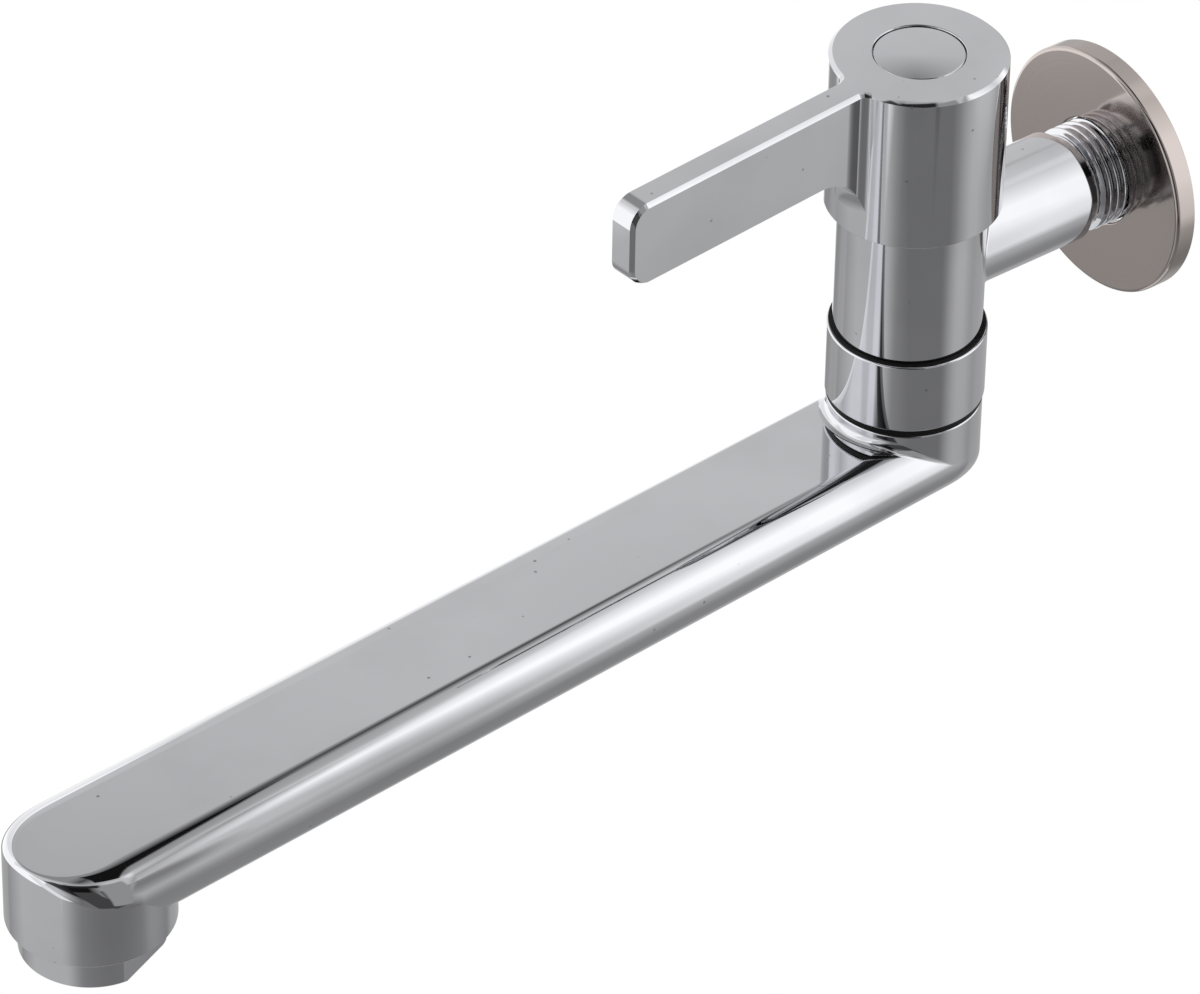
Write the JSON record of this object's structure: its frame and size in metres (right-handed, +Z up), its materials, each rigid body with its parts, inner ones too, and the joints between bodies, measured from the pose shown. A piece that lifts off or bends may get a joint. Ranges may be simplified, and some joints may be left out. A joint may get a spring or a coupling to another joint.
{
  "type": "wall-mounted kitchen tap",
  "caption": "Wall-mounted kitchen tap: vertical body on a horizontal inlet arm with a round wall flange, capped lever handle, and a long flat-topped swivel spout.",
  "frame": {"origin": "on the inlet's axis in the wall plane, which is the flange's back rim", "axes": "+Y along the inlet into the wall, +Z up, the lever and spout point along -Y"},
  "size_m": [0.0545, 0.2709, 0.1069],
  "materials": {
    "chrome": "polished chrome on brass",
    "satin_nickel": "satin nickel",
    "black_plastic": "smooth black",
    "brass": "turned brass",
    "ceramic": "ground white ceramic",
    "steel": "bright stainless steel",
    "rubber": "black rubber",
    "insert_plastic": "light grey plastic"
  },
  "bodies": {
    "valve": {"valve_body": "chrome", "wall_flange": "satin_nickel", "upper_ring": "black_plastic", "spout_nut": "chrome", "headwork_body": "brass", "headwork_oring": "rubber", "seat_seal": "rubber", "fixed_disc": "ceramic"},
    "handle": {"handle": "chrome", "index_button": "chrome", "handle_screw": "steel", "spindle": "brass", "spindle_clip": "steel", "spindle_oring_1": "rubber", "spindle_oring_2": "rubber", "moving_disc": "ceramic"},
    "spout": {"spout": "chrome", "lower_ring": "black_plastic", "retaining_ring": "insert_plastic", "neck_oring_1": "rubber", "neck_oring_2": "rubber", "aerator_housing": "chrome", "aerator_insert": "insert_plastic", "aerator_screen": "steel", "aerator_washer": "rubber"}
  },
  "joints": [
    {"name": "handle_turn", "type": "hinge", "parent": "valve", "child": "handle", "pos_m": [0, -0.049, 0], "axis": [0, 0, 1], "range_deg": [0, 90]},
    {"name": "spout_swivel", "type": "hinge", "parent": "valve", "child": "spout", "pos_m": [0, -0.049, 0], "axis": [0, 0, 1], "range_deg": [-99, 91]}
  ]
}
